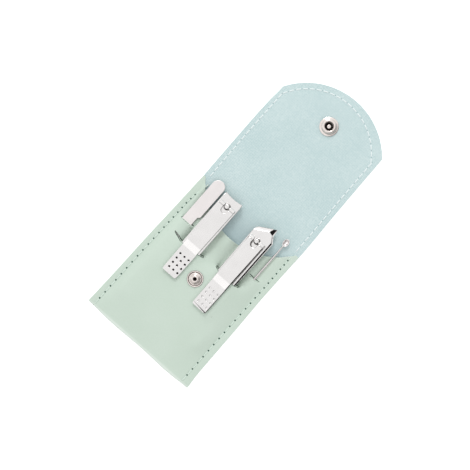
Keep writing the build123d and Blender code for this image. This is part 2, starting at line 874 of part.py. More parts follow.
# ---- nail file -----------------------------------------------------------------------------------------
file_half = file_width / 2
file_end = file_top - file_length
with BuildPart() as nail_file:
    with BuildSketch(Plane.XY.offset(tool_base)):
        tang_middle = (file_x - file_half + tang_right) / 2
        with BuildLine():
            Polyline(
                (file_x - file_half, file_top - file_half),
                (file_x - file_half, file_end + file_taper),
                (tang_middle - file_point / 2, file_end + file_point / 2),
            )
            ThreePointArc(
                (tang_middle - file_point / 2, file_end + file_point / 2),
                (tang_middle, file_end),
                (tang_middle + file_point / 2, file_end + file_point / 2),
            )
            Polyline(
                (tang_middle + file_point / 2, file_end + file_point / 2),
                (tang_right, file_end + file_taper),
                (tang_right, file_shoulder - file_step),
                (file_x + file_half, file_shoulder),
                (file_x + file_half, file_top - file_half),
            )
            ThreePointArc(
                (file_x + file_half, file_top - file_half),
                (file_x, file_top),
                (file_x - file_half, file_top - file_half),
            )
        make_face()
    extrude(amount=file_sheet)
    chamfer(nail_file.edges().group_by(Axis.Z)[-1], file_edge)
save(nail_file, "nail_file")

# ---- ear pick ------------------------------------------------------------------------------------------
pick_axis = tool_base + pick_radius
spoon_middle = pick_top - spoon_length / 2
spoon_rear = pick_top - spoon_length + spoon_wall
with BuildPart() as ear_pick:
    # the bowl: an oval pebble hollowed from above
    with BuildSketch(Plane.XY.offset(tool_base)):
        with Locations((pick_x, spoon_middle)):
            Ellipse(spoon_width / 2, spoon_length / 2)
    extrude(amount=spoon_depth)
    fillet(ear_pick.edges().group_by(Axis.Z)[0], spoon_round)
    for shift in (-spoon_spread, spoon_spread):
        with Locations((pick_x, spoon_middle + shift, tool_base + spoon_wall + spoon_bowl_radius)):
            Sphere(spoon_bowl_radius, mode=Mode.SUBTRACT)
    # the neck and the shaft, tapering to a blunt end
    with BuildSketch(Plane((pick_x, 0, pick_axis), x_dir=(0, 1, 0), z_dir=(0, 0, 1))):
        with BuildLine():
            Polyline(
                (spoon_rear, 0),
                (spoon_rear, pick_neck_radius),
                (spoon_rear - neck_length, pick_neck_radius),
                (spoon_rear - 2 * neck_length, pick_radius),
                (pick_top - pick_length + pick_radius, pick_radius),
                (pick_top - pick_length, pick_radius / 2),
                (pick_top - pick_length, 0),
                close=True,
            )
        make_face()
    revolve(axis=Axis((pick_x, 0, pick_axis), (0, 1, 0)))
save(ear_pick, "ear_pick")
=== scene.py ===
"""Manicure set case lying open: a stitched leatherette pouch with a snap flap, and four steel tools."""

import bpy
import math
import numpy as np
from mathutils import Matrix, Vector


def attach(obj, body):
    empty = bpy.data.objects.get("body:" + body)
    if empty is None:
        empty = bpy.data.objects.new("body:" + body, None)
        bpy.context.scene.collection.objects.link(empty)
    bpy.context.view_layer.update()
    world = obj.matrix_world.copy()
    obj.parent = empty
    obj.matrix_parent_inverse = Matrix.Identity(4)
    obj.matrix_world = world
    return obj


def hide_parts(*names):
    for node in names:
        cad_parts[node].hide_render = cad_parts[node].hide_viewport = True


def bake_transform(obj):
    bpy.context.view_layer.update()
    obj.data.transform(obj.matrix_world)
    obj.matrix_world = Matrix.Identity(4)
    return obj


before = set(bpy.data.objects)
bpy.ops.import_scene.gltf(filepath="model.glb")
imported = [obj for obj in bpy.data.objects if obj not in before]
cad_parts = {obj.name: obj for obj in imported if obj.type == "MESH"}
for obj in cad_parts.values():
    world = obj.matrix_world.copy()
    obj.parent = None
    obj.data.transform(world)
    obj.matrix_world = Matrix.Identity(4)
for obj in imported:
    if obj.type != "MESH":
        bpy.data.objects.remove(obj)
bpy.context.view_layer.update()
bpy.ops.object.select_all(action="DESELECT")
MM = 0.001

# ---- table and light -----------------------------------------------------------------------------------
# A plain white table, one large soft lamp beyond the flap's left corner, and an even white surround.
# Metal mirrors the surround, which is dimmer low down on the side away from the lamp.


def linear(code):
    """A colour written as sRGB hex, as the shaders want it."""
    parts = [int(code[i : i + 2], 16) / 255 for i in (1, 3, 5)]
    return [p / 12.92 if p <= 0.04045 else ((p + 0.055) / 1.055) ** 2.4 for p in parts] + [1.0]


def put(tree, kind, settings=(), sockets=()):
    """Adds one node with its settings; a socket takes a value or another node's output."""
    node = tree.nodes.new(kind)
    for name, value in dict(settings).items():
        setattr(node, name, value)
    for name, value in dict(sockets).items():
        if isinstance(value, bpy.types.NodeSocket):
            tree.links.new(value, node.inputs[name])
        else:
            node.inputs[name].default_value = value
    return node


def material(name):
    """A new material with nothing in it yet."""
    made = bpy.data.materials.new(name)
    made.use_nodes = True
    made.node_tree.nodes.clear()
    return made, made.node_tree


LARGER, PRODUCT, BELOW_THAT = ({"operation": name} for name in ("MAXIMUM", "MULTIPLY", "LESS_THAN"))
bpy.ops.mesh.primitive_plane_add(size=6, location=(0, 0, -0.2 * MM))
table = bpy.context.object
table.name = "table"
white_laminate, tree = material("white laminate")
path = put(tree, "ShaderNodeLightPath").outputs
rays = {0: path["Is Camera Ray"], 1: path["Is Glossy Ray"]}
seen = put(tree, "ShaderNodeMath", LARGER, rays)
seen = put(tree, "ShaderNodeMath", LARGER, {0: seen.outputs[0], 1: path["Is Transmission Ray"]})
matt = put(tree, "ShaderNodeBsdfDiffuse", (), {"Color": linear("#F2F2F2")})
glow = put(tree, "ShaderNodeEmission", (), {"Color": (1, 1, 1, 1), "Strength": 0.5})
lit = put(tree, "ShaderNodeAddShader", (), {0: matt.outputs[0], 1: glow.outputs[0]})
shown = put(tree, "ShaderNodeMixShader", (), {0: seen.outputs[0], 1: matt.outputs[0], 2: lit.outputs[0]})
put(tree, "ShaderNodeOutputMaterial", (), {"Surface": shown.outputs[0]})
table.data.materials.append(white_laminate)

world = bpy.data.worlds.new("white surround")
bpy.context.scene.world = world
world.use_nodes = True
tree = world.node_tree
tree.nodes.clear()
path = put(tree, "ShaderNodeLightPath").outputs
where = put(tree, "ShaderNodeTexCoord").outputs["Generated"]
way = put(tree, "ShaderNodeSeparateXYZ", (), {"Vector": where}).outputs
right_side = put(
    tree,
    "ShaderNodeMapRange",
    (),
    {"Value": way["X"], "From Min": 0.2, "From Max": 0.5, "To Min": 1.0, "To Max": 0.35},
)
near_side = put(
    tree,
    "ShaderNodeMapRange",
    (),
    {"Value": way["Y"], "From Min": -0.72, "From Max": -0.52, "To Min": 0.6, "To Max": 1.0},
)
# a second, smaller soft box stands over the pocket's bottom
box_light = put(
    tree,
    "ShaderNodeMapRange",
    {"interpolation_type": "SMOOTHSTEP"},
    {"Value": way["Y"], "From Min": -0.34, "From Max": -0.22, "To Min": 1.22, "To Max": 1.0},
)
shade = put(tree, "ShaderNodeMath", PRODUCT, {0: right_side.outputs[0], 1: near_side.outputs[0]})
shade = put(tree, "ShaderNodeMath", PRODUCT, {0: shade.outputs[0], 1: box_light.outputs[0]})
even = put(tree, "ShaderNodeBackground", (), {"Color": (1, 1, 1, 1), "Strength": 0.84})
mirrored = put(tree, "ShaderNodeBackground", (), {"Color": (1, 1, 1, 1), "Strength": shade.outputs[0]})
plain = put(tree, "ShaderNodeBackground", (), {"Color": (1, 1, 1, 1), "Strength": 1.0})
rays = {0: path["Is Glossy Ray"], 1: path["Is Transmission Ray"]}
glossy = put(tree, "ShaderNodeMath", LARGER, rays)
# light that metal throws on to the leather comes from the even surround too
direct = put(tree, "ShaderNodeMath", BELOW_THAT, {0: path["Diffuse Depth"], 1: 0.5})
glossy = put(tree, "ShaderNodeMath", PRODUCT, {0: glossy.outputs[0], 1: direct.outputs[0]})
shaders = {0: glossy.outputs[0], 1: even.outputs[0], 2: mirrored.outputs[0]}
first = put(tree, "ShaderNodeMixShader", (), shaders)
shaders = {0: path["Is Camera Ray"], 1: first.outputs[0], 2: plain.outputs[0]}
second = put(tree, "ShaderNodeMixShader", (), shaders)
put(tree, "ShaderNodeOutputWorld", (), {"Surface": second.outputs[0]})

lamp_way = Vector((-0.62, 0.66, 0.85))
bpy.ops.object.light_add(type="AREA", location=lamp_way * 1.2)
lamp = bpy.context.object
lamp.name = "soft_lamp"
lamp.data.shape = "DISK"
lamp.data.size = 0.5
lamp.data.energy = 5.5
lamp.rotation_euler = (-lamp_way).to_track_quat("-Z", "Y").to_euler()

# ---- camera --------------------------------------------------------------------------------------------
# Almost straight above the case with a long lens, the case turned by 41 degrees in the frame.
roll = math.radians(41.27)
lean = Vector((math.sin(math.radians(1.49)), math.sin(math.radians(0.15)), 1)).normalized()
aim = Vector((0.4, -15.0, 0)) * MM
distance = 600 * MM
pixel = 0.6077 * MM             # size of a pixel where the camera aims
across = 470                    # pixels
bpy.ops.object.camera_add()
camera = bpy.context.object
right = (-lean).cross(Vector((-math.sin(roll), math.cos(roll), 0))).normalized()
upward = right.cross(-lean)
turn = Matrix((right, upward, lean)).transposed().to_4x4()
camera.matrix_world = Matrix.Translation(aim + lean * distance) @ turn
camera.data.sensor_width = 36
camera.data.lens = camera.data.sensor_width * distance / pixel / across
camera.data.clip_start = 0.01
bpy.context.scene.camera = camera
bpy.context.scene.view_settings.view_transform = "Standard"

# ---- outer leatherette and lining -----------------------------------------------------------------------
# Back, spine and flap are one sheet of mint leatherette with an aqua lining glued to it, cut together.
# Each layer is made in two lengths that meet in the middle of the spine.
FOLD_ONE, FOLD_TWO, SPINE = 5.0, 16.2, 10.6
FLAP_RADIUS, FLAP_X, FLAP_Y = 45.9, 2.2, 48.5
SOCKET = (0, 71.87)             # the middle of the snap's socket
BOTTOM = -103.0                 # the back's rows start here
LEFT_EDGE = (
    (-103.5, -95, -80, -50, -30, -12, -4, 1, 15, 40, 52, 62, 72),
    (-40.3, -40.0, -39.6, -39.1, -38.5, -37.9, -37.5, -37.8, -38.0, -38.15, -38.1, -37.8, -37.2),
)
RIGHT_EDGE = (
    (-103.5, -98, -92, -60, -35, -15, 4, 16, 30, 45, 76),
    (39.7, 39.2, 38.9, 38.65, 38.15, 38.35, 38.7, 38.5, 38.0, 37.7, 37.3),
)
BOTTOM_FOLD = (
    (-40, -36, -28, -18, 0, 10, 20, 30, 36, 40),
    (-102.4, -102.5, -103.1, -103.3, -102.8, -102.95, -103.35, -103.1, -102.6, -102.5),
)


def side_at(y, side):
    """Where the sheet is cut at y, left (-1) or right (1)."""
    return np.interp(y, *(LEFT_EDGE if side < 0 else RIGHT_EDGE))


def between_sides(y, s):
    """The place along x at the share s of the sheet's width at y."""
    left, right = side_at(y, -1), side_at(y, 1)
    return left + s * (right - left)


def fold_line(x):
    """Where the back ends and the front panel's fold takes over: it bellies out between the seams."""
    return np.interp(x, *BOTTOM_FOLD)


def grid(name, columns, rows, place):
    """A sheet of quads, each point laid at place(s, t), where s and t run from 0 to 1 across and along."""
    bpy.ops.object.select_all(action="DESELECT")
    bpy.ops.mesh.primitive_grid_add(x_subdivisions=columns, y_subdivisions=rows, size=2)
    sheet = bpy.context.object
    sheet.name = sheet.data.name = name
    for point in sheet.data.vertices:
        point.co = Vector(place((point.co.x + 1) / 2, (point.co.y + 1) / 2)) * MM
    return sheet


def pick(piece):
    """Makes a piece the only one selected, and the active one."""
    bpy.ops.object.select_all(action="DESELECT")
    piece.select_set(True)
    bpy.context.view_layer.objects.active = piece


def finish_mesh(piece, *modifiers, angle=35):
    """Applies the piece's place and its modifiers, given as (kind, settings); smooths it up to an angle."""
    pick(piece)
    bpy.ops.object.transform_apply(location=True, rotation=True, scale=True)
    for kind, settings in modifiers:
        modifier = piece.modifiers.new(kind.lower(), kind)
        for name, value in settings.items():
            setattr(modifier, name, value)
        bpy.ops.object.modifier_apply(modifier=modifier.name)
    if angle:
        bpy.ops.object.shade_smooth_by_angle(angle=math.radians(angle))


def soften(piece, width, segments, chosen):
    """Rounds edges by width times chosen(middle in mm, the two faces' normals), which is 0 to 1."""
    finish_mesh(piece)
    mesh = piece.data
    beside = {}
    for face in mesh.polygons:
        for key in face.edge_keys:
            beside.setdefault(key, []).append(face.normal)
    weight = mesh.attributes.new("bevel_weight_edge", "FLOAT", "EDGE")
    for edge in mesh.edges:
        a, b = (mesh.vertices[i].co for i in edge.vertices)
        normals = beside[edge.key]
        share = float(chosen((a + b) / (2 * MM), *normals)) if len(normals) == 2 else 0.0
        weight.data[edge.index].value = share
        if share:
            edge.use_edge_sharp = False
    settings = {"width": width * MM, "segments": segments, "limit_method": "WEIGHT"}
    settings["use_clamp_overlap"] = False
    finish_mesh(piece, ("BEVEL", settings), ("WEIGHTED_NORMAL", {"keep_sharp": True}), angle=None)
    piece.data.attributes.remove(piece.data.attributes["bevel_weight_edge"])


TWO_COLOURS, SCALED_SUM = {"data_type": "RGBA"}, {"operation": "MULTIPLY_ADD"}


def leatherette(name, base, light, grain=0.6, contrast=1.0, relief=0.04, rough=0.8, weave=0, bands=()):
    """Embossed PU leatherette or lining: a soft colour that clouds a little, with a fine grain or weave.

    Grain, relief and weave are in mm. Bands across it are given as (from y, to y, strength, edge, colour)."""
    made, tree = material(name)
    spot = put(tree, "ShaderNodeTexCoord").outputs["Object"]
    cloud = put(tree, "ShaderNodeTexNoise", (), {"Vector": spot, "Scale": 40, "Detail": 2})
    sockets = {"Vector": spot, "Scale": 1 / (grain * MM), "Smoothness": 0.7}
    pebble = put(tree, "ShaderNodeTexVoronoi", {"feature": "SMOOTH_F1"}, sockets)
    fine = put(tree, "ShaderNodeTexNoise", (), {"Vector": spot, "Scale": 1 / (grain * MM), "Detail": 4})
    sockets = {0: pebble.outputs["Distance"], 1: 0.5, 2: fine.outputs["Fac"]}
    texture = put(tree, "ShaderNodeMath", SCALED_SUM, sockets)
    if weave:
        # threads across and along the sheet; a wave's period in metres is 0.314 over its scale
        for direction in ("X", "Y"):
            sockets = {"Vector": spot, "Scale": 0.314 / (weave * MM), "Distortion": 2.5}
            sockets |= {"Detail": 2, "Detail Scale": 2}
            threads = put(tree, "ShaderNodeTexWave", {"bands_direction": direction}, sockets)
            sockets = {0: threads.outputs["Fac"], 1: 0.22, 2: texture.outputs[0]}
            texture = put(tree, "ShaderNodeMath", SCALED_SUM, sockets)
    sockets = {0: texture.outputs[0], 1: contrast, 2: cloud.outputs["Fac"]}
    tone = put(tree, "ShaderNodeMath", SCALED_SUM, sockets)
    middle = 0.5 + contrast * (0.97 if weave else 0.75)
    sockets = {"Value": tone.outputs[0], "From Min": middle - 0.5, "From Max": middle + 0.5}
    share = put(tree, "ShaderNodeMapRange", (), sockets)
    tones = {"Factor": share.outputs[0], 6: linear(base), 7: linear(light)}
    colour = put(tree, "ShaderNodeMix", TWO_COLOURS, tones)
    for start, end, strength, edge, shade in bands:
        along_y = put(tree, "ShaderNodeSeparateXYZ", (), {"Vector": spot}).outputs["Y"]
        sockets = {"Value": along_y, "From Min": start * MM, "From Max": end * MM}
        sockets |= {"To Min": strength, "To Max": 0.0}
        share = put(tree, "ShaderNodeMapRange", {"interpolation_type": edge}, sockets)
        tones = {"Factor": share.outputs[0], 6: colour.outputs[2], 7: linear(shade)}
        colour = put(tree, "ShaderNodeMix", TWO_COLOURS, tones)
    sockets = {"Height": texture.outputs[0], "Strength": 0.5, "Distance": relief * MM}
    bumps = put(tree, "ShaderNodeBump", (), sockets)
    sockets = {"Value": fine.outputs["Fac"], "To Min": rough - 0.06, "To Max": rough + 0.06}
    dull = put(tree, "ShaderNodeMapRange", (), sockets)
    look = {"Base Color": colour.outputs[2], "Roughness": dull.outputs[0], "Specular IOR Level": 0.35}
    skin = put(tree, "ShaderNodeBsdfPrincipled", (), look | {"Normal": bumps.outputs[0]})
    put(tree, "ShaderNodeOutputMaterial", (), {"Surface": skin.outputs[0]})
    return made


# a painted highlight: the skin is painted paler along the pocket's bottom fold
FOLD_HIGHLIGHT = (-103.8, -101.8, 0.85, "SMOOTHSTEP", "#E8F2EA")
# painted shade: the lining is painted darker by the mouth, under and between the tools' heads
MOUTH_SHADE = (-18, 7, 0.75, "SMOOTHSTEP", "#AFC5C8")
# a painted shadow: a thin near-black line across the lining, to darken the slits where it shows through them
SLIT_SHADOW = (-26.2, -25.8, 1.0, "LINEAR", "#2E3A35")
# the grain and the weave are drawn about twice as coarse as the real ones, so that they show
mint = leatherette("mint embossed leatherette", "#C8D9CB", "#D2E1D5", 0.9, 0.5, 0.035, 0.5, bands=[FOLD_HIGHLIGHT])
aqua = leatherette("aqua woven lining", "#BDD4D5", "#D3E4E4", 0.9, 1.6, 0.05, 0.65, 1.25, [MOUTH_SHADE, SLIT_SHADOW])
backing = leatherette("leatherette's cut edge, with its pale backing", "#D3DEDA", "#E2E8E6")


def back_place(s, t):
    """Rows from the pocket's bottom fold, which the first of them follow, to the middle of the spine."""
    y = BOTTOM + t * (SPINE - BOTTOM)
    x = between_sides(y, s)
    return x, y + (fold_line(x) - BOTTOM) * max(0, 1 - t * 8)


def flap_place(s, t):
    """Straight rows up to the round end, then rows that swell into its arc."""
    straight, split = 58.0, 0.66
    if t <= split:
        y = SPINE + (straight - SPINE) * t / split
        return between_sides(y, s), y
    share = (t - split) / (1 - split)
    # the sides run on for 16 mm beside the round end
    x = between_sides(straight + share * 16, s)
    top = FLAP_Y + math.sqrt(FLAP_RADIUS**2 - (x - FLAP_X) ** 2)
    return x, straight + share * (top - straight)


LEATHER, LINING = 1.0, 0.5      # thicknesses
LEATHER_TOP, LINING_TOP = LEATHER, LEATHER + LINING
shell = ("SOLIDIFY", {"thickness": LEATHER * MM, "offset": -1, "material_offset_rim": 1})
thin = ("SOLIDIFY", {"thickness": LINING * MM, "offset": -1, "material_offset_rim": 1})
# the snap's cap is pressed into the flap's outer face, in a recess of this shape
centre = (0, SOCKET[1] * MM, -0.4 * MM)
bpy.ops.mesh.primitive_cylinder_add(vertices=64, radius=6.25 * MM, depth=2 * MM, location=centre)
punch = bpy.context.object
recess = ("BOOLEAN", {"object": punch, "operation": "DIFFERENCE"})


def layer(name, columns, rows, place, top, modifiers, skin, body, next_body, fold, slot, replaced):
    """One length of a layer, its top face at height top."""
    piece = grid(name, columns, rows, lambda s, t: (*place(s, t), top))
    piece.data.materials.append(skin)
    piece.data.materials.append(backing)
    finish_mesh(piece, *modifiers)
    soften(piece, 0.15, 2, lambda middle, a, b: a.angle(b) > 1 and abs(middle.y - SPINE) > 0.01)
    for face in piece.data.polygons:
        if abs(face.center.y / MM - SPINE) < 0.01:
            face.material_index = 0
    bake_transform(piece)
    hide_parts(*replaced)
    return piece


back, at_one = (40, 116, back_place), ("case", "spine", FOLD_ONE)
flap, at_two = (64, 84, flap_place), ("spine", "flap", FOLD_TWO)
leather, lining = "mint_leather", "aqua_lining"
covered = ["back_panel", "spine_panel"]
back_leather = layer("back_leather", *back, LEATHER_TOP, (shell,), mint, *at_one, leather, covered)
covered = ["back_lining", "spine_lining"]
back_lining = layer("back_lining_sheet", *back, LINING_TOP, (thin,), aqua, *at_one, lining, covered)
covered = ["flap_panel"]
flap_leather = layer("flap_leather", *flap, LEATHER_TOP, (shell, recess), mint, *at_two, leather, covered)
covered = ["flap_lining"]
flap_lining = layer("flap_lining_sheet", *flap, LINING_TOP, (thin,), aqua, *at_two, lining, covered)
bpy.data.objects.remove(punch)

# ---- pocket front --------------------------------------------------------------------------------------
# The same leatherette, folded up from the bottom and sewn down both sides. Its mouth is scooped, and four
# slits let the tools through: the leather lies under each tool above its slit and stretches over it below.
COLUMNS = 140
WRAP, BELOW, BETWEEN, ABOVE = 8, 104, 16, 28
ROWS = WRAP + BELOW + BETWEEN + ABOVE
# each slit's upper lip, and how far its lower lip is drawn back, at places along x
CLIPPER_X = (-28.3, -23.4, -21.4, -7.0, -4.7, 4.2, 6.8, 20.6, 23.4)
CLIPPER_LIP = (-36.7, -38.1, -38.6, -37.7, -37.1, -35.9, -36.9, -37.5, -36.6)
CLIPPER_GAP = (0.0, 0.0, 0.3, 0.3, 0.0, 0.0, 0.3, 0.4, 0.0)
THIN_X = (-31.2, -30.4, -22.6, -21.3, 22.3, 25.6, 28.0, 30.7)
THIN_LIP = (-27.4, -27.5, -27.5, -27.3, -26.7, -27.0, -27.0, -26.6)
THIN_GAP = (0.0, 0.5, 0.6, 0.0, 0.2, 0.9, 1.0, 0.2)
CUTS = {WRAP + BELOW: ((-28.3, -4.7), (4.2, 23.4)), WRAP + BELOW + BETWEEN: ((-31.2, -21.3), (22.3, 30.7))}
# where the side seams run, as (y, x) left (-1) and right (1)
SEAM_LINES = {
    -1: (
        (-102, -80, -60, -45, -35, -20, -13, -8.5, -4.5),
        (-36.1, -35.9, -35.6, -35.2, -34.9, -34.6, -33.9, -32.9, -31.8),
    ),
    1: ((-102, -60, -30, -4.5), (34.5, 34.5, 34.8, 34.7)),
}
FOLD_Y = -103.3                 # where the front comes round from under the back
FLAT = 2.5                      # height of its upper face where it lies flat
STUD, SNAP_SEAT = (0, -50.6), 7.1       # the snap's stud, and the height that it is riveted at
FINGER_PIN, OBLIQUE_PIN = (-14.1, -5.4), (13.7, -9.2)
ROLL = math.radians(8)          # the oblique clipper lies with its right flank up


def mouth_line(x):
    """The mouth's scooped edge."""
    return 25.8 - math.sqrt(44.5**2 - x * x) if abs(x) < 36.26 else 0.0


def front_place(s, t):
    """Rows round the bottom fold, then up to each slit's line and to the mouth."""
    row = t * ROWS
    if row < WRAP:
        turn = math.pi * (row / WRAP - 0.5)
        x = between_sides(FOLD_Y, s)
        return x, fold_line(x) - FLAT / 2 * math.cos(turn), FLAT / 2 + FLAT / 2 * math.sin(turn)
    stops = (WRAP, WRAP + BELOW, WRAP + BELOW + BETWEEN, ROWS)
    x = between_sides(np.interp(row, stops, (FOLD_Y, -37.5, -27.4, -8)), s)
    slits = np.interp(x, CLIPPER_X, CLIPPER_LIP), np.interp(x, THIN_X, THIN_LIP)
    return x, np.interp(row, stops, (fold_line(x), *slits, mouth_line(x))), FLAT


front = grid("pocket_front", COLUMNS, ROWS, front_place)
mesh = front.data
at = np.array([p.co for p in mesh.vertices]) / MM
row_of = np.repeat(np.arange(ROWS + 1), COLUMNS + 1)
bpy.ops.object.mode_set(mode="EDIT")
bpy.ops.mesh.select_mode(type="EDGE")
bpy.ops.mesh.select_all(action="DESELECT")
bpy.ops.object.mode_set(mode="OBJECT")
for edge in mesh.edges:
    a, b = edge.vertices
    if row_of[a] == row_of[b]:
        left, right = sorted((at[a, 0], at[b, 0]))
        edge.select = any(low - 0.1 < left and right < high + 0.1 for low, high in CUTS.get(row_of[a], ()))
bpy.ops.object.mode_set(mode="EDIT")
bpy.ops.mesh.edge_split(type="EDGE")
bpy.ops.object.mode_set(mode="OBJECT")

# The leather is drawn tight over the tools below a slit, and lies flat under them above it.
count = len(mesh.vertices)
at = np.array([p.co for p in mesh.vertices]) / MM
ends = np.array([e.vertices[:] for e in mesh.edges])
corners = np.array([f.vertices[:] for f in mesh.polygons])
middles = np.repeat(at[corners].mean(axis=1)[:, 1], 4)
faces_met = np.bincount(corners.ravel(), minlength=count)
x, y = at[:, 0], at[:, 1]
# of a slit's points, these belong to the leather above it: their faces lie further up
upper_lip = np.bincount(corners.ravel(), middles, count) / faces_met > y + 0.02
left_edge, right_edge = side_at(y, -1), side_at(y, 1)
clipper_lip, thin_lip = np.interp(x, CLIPPER_X, CLIPPER_LIP), np.interp(x, THIN_X, THIN_LIP)
over_clippers = (y < clipper_lip - 0.01) | ((np.abs(y - clipper_lip) < 0.01) & ~upper_lip)
over_thin = (y < thin_lip - 0.01) | ((np.abs(y - thin_lip) < 0.01) & ~upper_lip)
# the clippers' arms rise evenly from their tails to their jaws, and the oblique one lies rolled
TAIL_TOP, JAW_TOP, ARM_RUN, ARM_START = 2.35, 4.4, 47.5, 47.0
PLAY = 0.3                      # between a tool and the leather over it
arms_rise = (JAW_TOP - TAIL_TOP) / ARM_RUN
FINGER_BASE, OBLIQUE_BASE, OBLIQUE_MIDDLE = 2.8, 3.81, 13.3
finger_top = FINGER_BASE + TAIL_TOP + arms_rise * np.clip(y - FINGER_PIN[1] + ARM_START, 0, ARM_RUN)
oblique_top = OBLIQUE_BASE + TAIL_TOP + arms_rise * np.clip(y - OBLIQUE_PIN[1] + ARM_START, 0, ARM_RUN)
oblique_top = oblique_top + (x - OBLIQUE_MIDDLE) * math.tan(ROLL)
FILE_TOP, PICK_TOP, PICK_X = 3.8, 4.3, 26.8
least = np.full(count, FLAT)
for covered, top in (
    (over_thin & (x > -30.7) & (x < -23.1) & (y > -85.9), FILE_TOP),
    (over_thin & (np.abs(x - PICK_X) < 1.0) & (y > -81), PICK_TOP),
    (over_clippers & (np.abs(x - FINGER_PIN[0]) < 6.9) & (y > -58.4), finger_top),
    (over_clippers & (x > 5.9) & (x < 20.7) & (y > -62.2), oblique_top),
):
    least = np.where(covered, np.maximum(least, top + PLAY + LEATHER), least)
# between the tools the mouth gapes: (from, to, how far its edge stands off), easing off down the front
GAPE_LENGTH = 17
mouth = np.array([mouth_line(v) for v in x])
gapes = np.zeros(count)
for low, high, rise in ((-7.0, 6.0, 2.8), (21.4, 25.6, 1.2), (28.0, 33.6, 1.4), (-33.6, -30.6, 1.0)):
    swell = ((x > low) & (x < high)) * rise * np.sin(math.pi * (x - low) / (high - low)) ** 2
    gapes += swell * np.clip((y - mouth + GAPE_LENGTH) / GAPE_LENGTH, 0, 1)
least = np.maximum(least, FLAT + gapes)
under_snap = (x**2 + (y - STUD[1]) ** 2) < 5.2**2
# it lies flat at its sewn sides, at the bottom, by the mouth, and under the tools above their slits
SEWN = 5.4                      # width of the sewn sides
pressed = (x < left_edge + SEWN) | (x > right_edge - SEWN) | (y < -101.0) | ((y > -25.0) & (gapes < 0.02))
pressed |= ~over_clippers & (y > -39.2) & ((np.abs(x - FINGER_PIN[0]) < 7.4) | ((x > 5.7) & (x < 21.6)))
pressed |= ~over_thin & (((x > -31) & (x < -21)) | (np.abs(x - PICK_X) < 1.2))
height = np.where(pressed, FLAT, np.where(over_clippers, 6.0, 3.0))
height = np.maximum(np.where(under_snap, SNAP_SEAT, height), np.where(pressed, 0, least))
held = pressed | under_snap
neighbours = np.bincount(ends.ravel(), minlength=count)


def relaxed(height):
    """Each point moves to the middle of its neighbours."""
    a, b = ends.T
    total = np.bincount(a, height[b], count) + np.bincount(b, height[a], count)
    return np.where(held, height, total / neighbours)


for step in range(2600):
    height = np.maximum(relaxed(height), least)
for step in range(16):
    height = relaxed(height)
clipper_gap, thin_gap = np.interp(x, CLIPPER_X, CLIPPER_GAP), np.interp(x, THIN_X, THIN_GAP)
# a lower lip's pull eases off over 9 mm below a clipper's slit, and over 4 mm below a thin one
drawn_back = over_clippers * clipper_gap * np.clip(1 - (clipper_lip - y) / 9, 0, 1) ** 2
drawn_back += over_thin * ~over_clippers * thin_gap * np.clip(1 - (thin_lip - y) / 4, 0, 1) ** 2
groove = sum(np.exp(-(((x - np.interp(y, *SEAM_LINES[side])) / 0.9) ** 2)) for side in (-1, 1)) * 0.22
# The round bottom fold keeps its place, and so do the last points, which the slits' cut added. Those are
# the lower lips', so each lower lip turns down to the flat height, through its tool, where a real one stays up.
for point, z, shift, dip in zip(mesh.vertices, height, drawn_back, groove):
    if (WRAP + 1) * (COLUMNS + 1) <= point.index < len(row_of):
        point.co.z = (z - dip) * MM
        point.co.y -= shift * MM
# painted shade: the slits' lips get a near-black leatherette, for the shade inside the slits
slit_shade = leatherette("leatherette's edge inside a slit, soiled by the tools", "#2B3631", "#404E47")
for skin_material in (mint, backing, slit_shade):
    front.data.materials.append(skin_material)
finish_mesh(front, shell)


def off_slit(place):
    """How far a place in mm lies from the nearest slit's line."""
    nearest = 99.0
    for row, xs, lips in ((WRAP + BELOW, CLIPPER_X, CLIPPER_LIP), (WRAP + BELOW + BETWEEN, THIN_X, THIN_LIP)):
        if any(low - 0.3 < place.x < high + 0.3 for low, high in CUTS[row]):
            nearest = min(nearest, abs(place.y - np.interp(place.x, xs, lips)))
    return nearest


# a slit's lips are rounded more than the sheet's other edges, and painted near-black for the shade inside it
soften(front, 0.3, 2, lambda middle, a, b: (a.angle(b) > 1) * (1 if off_slit(middle) < 1.6 else 0.53))
for face in front.data.polygons:
    off = off_slit(face.center / MM)
    rounding = off < 1 and 0.2 < face.normal.z < 0.94 and face.area < 0.2 * MM**2
    if rounding or (face.material_index == 1 and off < 1.6):
        face.material_index = 2
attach(front, "case")
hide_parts("front_panel")

# ---- seams ---------------------------------------------------------------------------------------------
# Twisted polyester thread in a machine's lock stitch: each stitch is a short bowed length that dips into
# the needle's holes at its ends, and the bobbin's thread does the same on the outer face.


def polyester(name, colour):
    """Twisted polyester sewing thread: slanting plies and a faint sheen."""
    made, tree = material(name)
    spot = put(tree, "ShaderNodeTexCoord").outputs["Object"]
    sockets = {"Vector": spot, "Scale": 700, "Distortion": 0.6}
    ply = put(tree, "ShaderNodeTexWave", {"bands_direction": "DIAGONAL"}, sockets)
    sockets = {"Height": ply.outputs["Fac"], "Strength": 0.6, "Distance": 0.06 * MM}
    relief = put(tree, "ShaderNodeBump", (), sockets)
    look = {"Base Color": linear(colour), "Roughness": 0.55, "Sheen Weight": 0.15}
    fibre = put(tree, "ShaderNodeBsdfPrincipled", (), look | {"Normal": relief.outputs[0]})
    put(tree, "ShaderNodeOutputMaterial", (), {"Surface": fibre.outputs[0]})
    return made


def pierced(name, colour, frayed):
    """The inside of a needle hole, in its own shadow."""
    made, tree = material(name)
    spot = put(tree, "ShaderNodeTexCoord").outputs["Object"]
    fray = put(tree, "ShaderNodeTexNoise", (), {"Vector": spot, "Scale": 3000})
    tones = {"Factor": fray.outputs["Fac"], 6: linear(colour), 7: linear(frayed)}
    tone = put(tree, "ShaderNodeMix", TWO_COLOURS, tones)
    look = {"Base Color": tone.outputs[2], "Roughness": 0.9, "Specular IOR Level": 0.1}
    inner = put(tree, "ShaderNodeBsdfPrincipled", (), look)
    put(tree, "ShaderNodeOutputMaterial", (), {"Surface": inner.outputs[0]})
    return made


